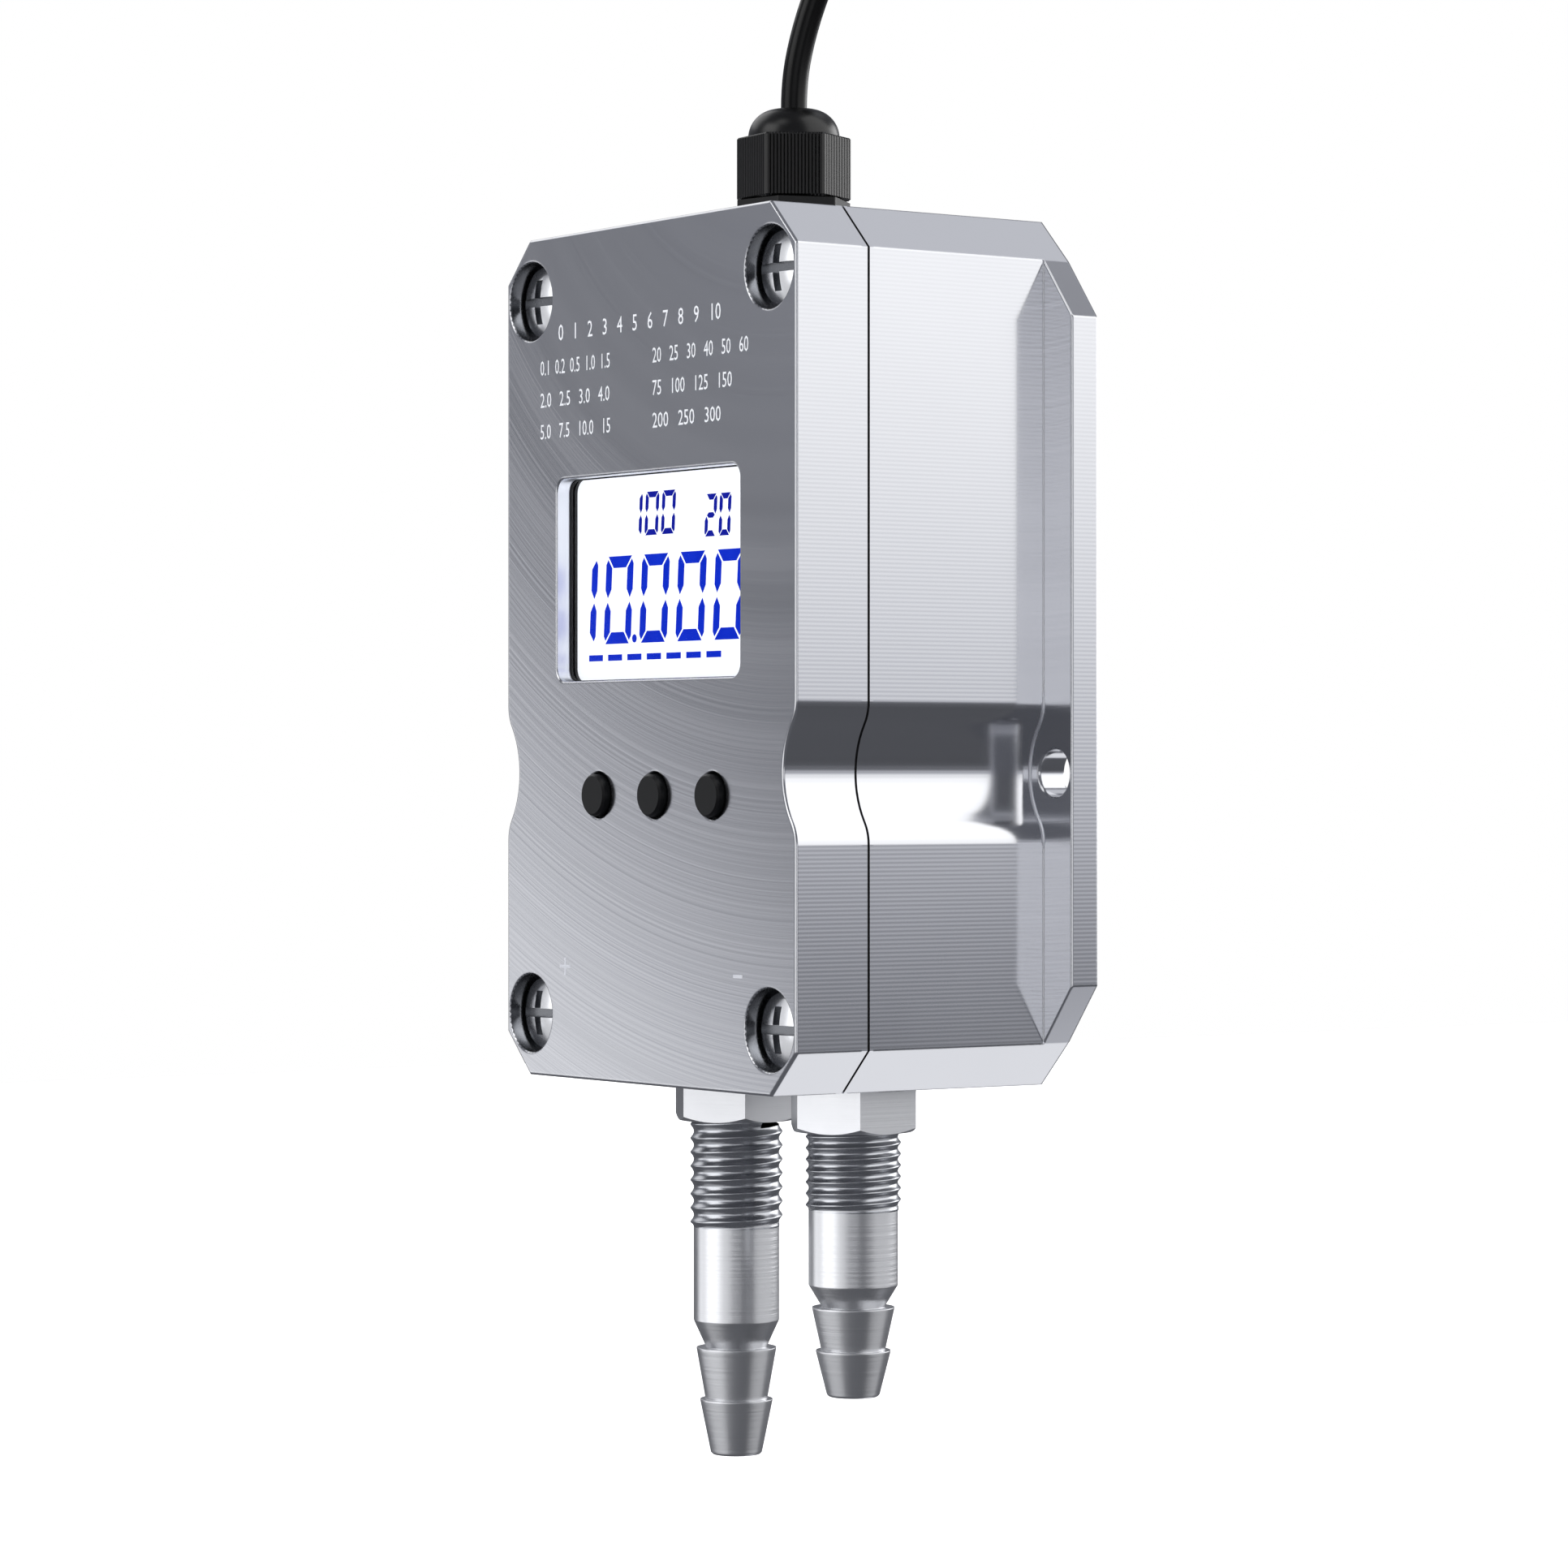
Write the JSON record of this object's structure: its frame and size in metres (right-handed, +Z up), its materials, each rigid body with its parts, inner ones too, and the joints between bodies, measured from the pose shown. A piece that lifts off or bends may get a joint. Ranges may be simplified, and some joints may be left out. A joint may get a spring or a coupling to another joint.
{
  "type": "differential pressure transmitter",
  "caption": "Wall-mounted differential pressure transmitter: waisted metal housing, small display, push buttons, barbed pressure ports and a cable gland.",
  "frame": {"origin": "midway between the two wall holes, on the back plane that meets the wall", "axes": "+X to the right seen from the front, +Y into the wall, +Z up"},
  "size_m": [0.0913, 0.049, 0.285],
  "materials": {
    "housing_aluminium": "fine machined lines, clear, satin",
    "gasket_rubber": "matt",
    "screw_steel": "turned and plated, bright",
    "button_plastic": "satin moulded",
    "switch_plastic": "moulded",
    "window_glass": "clear, polished",
    "display_frame_plastic": "matt black",
    "display_glass": "clear with a pale film",
    "backlight_plastic": "milky white",
    "circuit_board": "solder mask over glass fibre",
    "post_brass": "turned",
    "connector_plastic": "moulded",
    "terminal_plastic": "moulded",
    "ribbon_plastic": "soft extruded",
    "sensor_plastic": "moulded",
    "hose_rubber": "milky silicone",
    "fitting_steel": "turned and polished stainless steel",
    "seal_rubber": "matt",
    "gland_nylon": "satin moulded nylon",
    "cable_jacket": "satin extruded",
    "wire_insulation": "smooth, one colour for each wire",
    "tie_nylon": "moulded strap"
  },
  "bodies": {
    "housing": {"cable": "cable_jacket", "cable_coil": "cable_jacket", "cable_cores": "wire_insulation", "cable_inside": "cable_jacket", "cable_wires": "wire_insulation", "coil_tie": "tie_nylon", "cover_gasket": "gasket_rubber", "cover_screws": "screw_steel", "display_board": "circuit_board", "display_board_screws": "screw_steel", "display_header": "connector_plastic", "display_posts": "post_brass", "front_cover": "housing_aluminium", "gland_body": "gland_nylon", "gland_locknut": "gland_nylon", "gland_nut": "gland_nylon", "gland_seal": "seal_rubber", "gland_washer": "seal_rubber", "high_hose": "hose_rubber", "high_port_fitting": "fitting_steel", "high_port_nut": "fitting_steel", "high_port_seal": "seal_rubber", "lcd_backlight": "backlight_plastic", "lcd_frame": "display_frame_plastic", "lcd_panel": "display_glass", "low_hose": "hose_rubber", "low_port_fitting": "fitting_steel", "low_port_nut": "fitting_steel", "low_port_seal": "seal_rubber", "main_board": "circuit_board", "main_board_screws": "screw_steel", "main_header": "connector_plastic", "pressure_sensor": "sensor_plastic", "rear_housing": "housing_aluminium", "ribbon_cable": "ribbon_plastic", "tact_switches": "switch_plastic", "terminal_block": "terminal_plastic", "window_pane": "window_glass"},
    "left_button": {"button_left": "button_plastic", "switch_plunger_left": "switch_plastic"},
    "middle_button": {"button_middle": "button_plastic", "switch_plunger_middle": "switch_plastic"},
    "right_button": {"button_right": "button_plastic", "switch_plunger_right": "switch_plastic"}
  },
  "joints": [
    {"name": "left_button_press", "type": "slide", "parent": "housing", "child": "left_button", "axis": [0, 1, 0], "range_m": [0, 0.0004], "stiffness_N_per_m": 1500, "springref_m": -0.0004},
    {"name": "middle_button_press", "type": "slide", "parent": "housing", "child": "middle_button", "axis": [0, 1, 0], "range_m": [0, 0.0004], "stiffness_N_per_m": 1500, "springref_m": -0.0004},
    {"name": "right_button_press", "type": "slide", "parent": "housing", "child": "right_button", "axis": [0, 1, 0], "range_m": [0, 0.0004], "stiffness_N_per_m": 1500, "springref_m": -0.0004}
  ]
}
